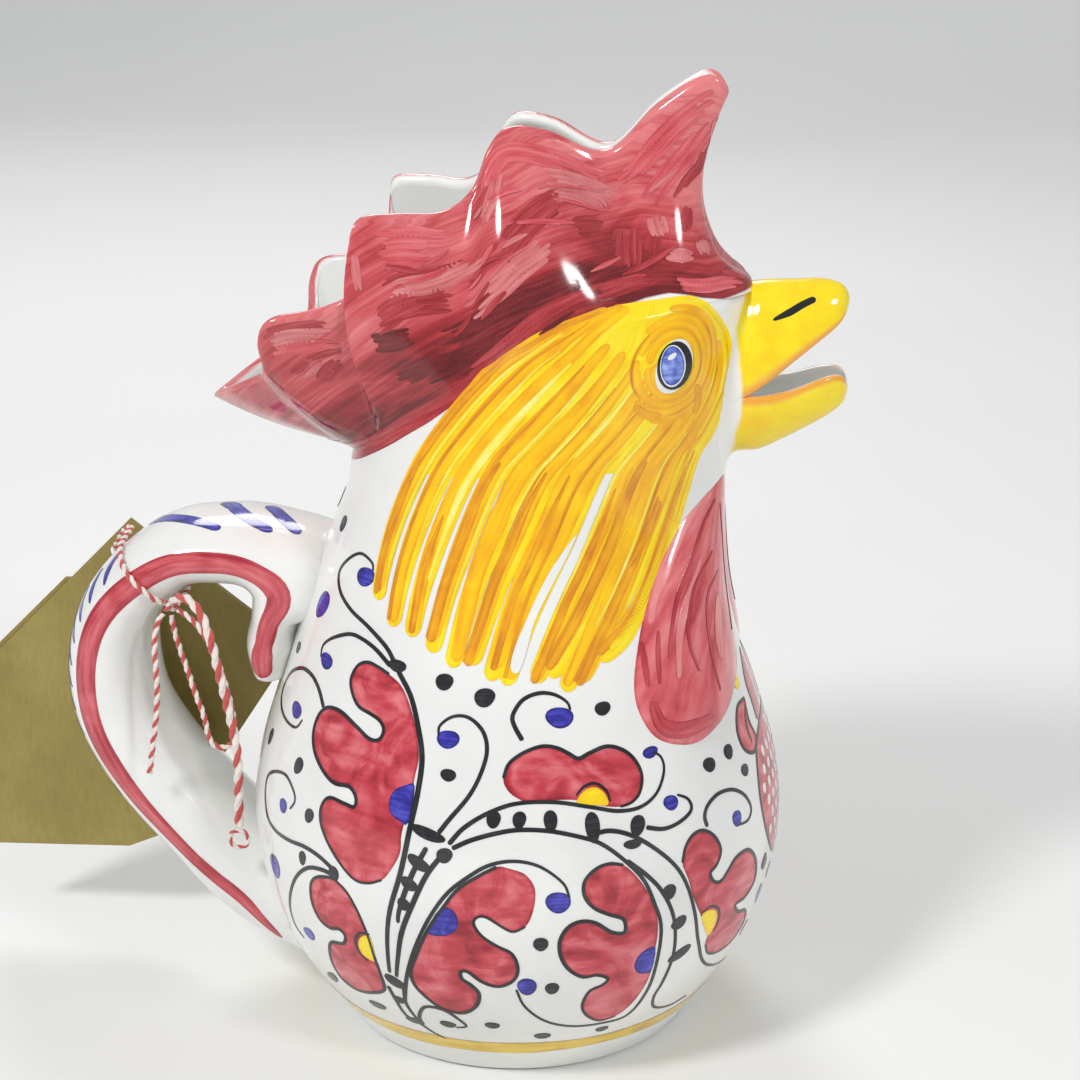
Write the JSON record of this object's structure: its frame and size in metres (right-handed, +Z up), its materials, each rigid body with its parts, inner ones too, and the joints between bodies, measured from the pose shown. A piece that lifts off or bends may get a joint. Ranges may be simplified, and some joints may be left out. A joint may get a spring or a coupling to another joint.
{
  "type": "chicken pitcher",
  "caption": "Glazed earthenware jug shaped as a rooster: open lobed comb for filling, beak spout, wattles, loop handle and a folded card tag tied on with twine.",
  "frame": {"origin": "centre of the flat foot, on the table", "axes": "+X from the foot's centre towards the beak, +Z up, the handle lies behind in -X"},
  "size_m": [0.2517, 0.149, 0.268],
  "materials": {
    "glaze": "gloss",
    "red_glaze": "gloss",
    "yellow_glaze": "gloss",
    "twine": "matte",
    "card": "satin"
  },
  "bodies": {
    "pitcher": {"belly": "glaze", "head": "glaze", "comb": "red_glaze", "upper_beak": "yellow_glaze", "lower_beak": "yellow_glaze", "wattle_right": "red_glaze", "wattle_left": "red_glaze", "eye_right": "glaze", "eye_left": "glaze", "handle": "glaze", "twine_loop": "twine", "twine_knot": "twine", "twine_tail": "twine", "twine_bow": "twine", "twine_strand": "twine", "twine_end": "twine"},
    "tag": {"tag_front_leaf": "card"},
    "tag_flap": {"tag_back_leaf": "card"}
  },
  "joints": [
    {"name": "tag_swing", "type": "hinge", "parent": "pitcher", "child": "tag", "pos_m": [-0.12042, 0.02505, 0.12156], "axis": [0, 1, 0], "range_deg": [-3, 18]},
    {"name": "tag_fold", "type": "hinge", "parent": "tag", "child": "tag_flap", "pos_m": [-0.16272, 0.02505, 0.02556], "axis": [0.0559, 0, 0.9984], "range_deg": [0, 70]}
  ]
}
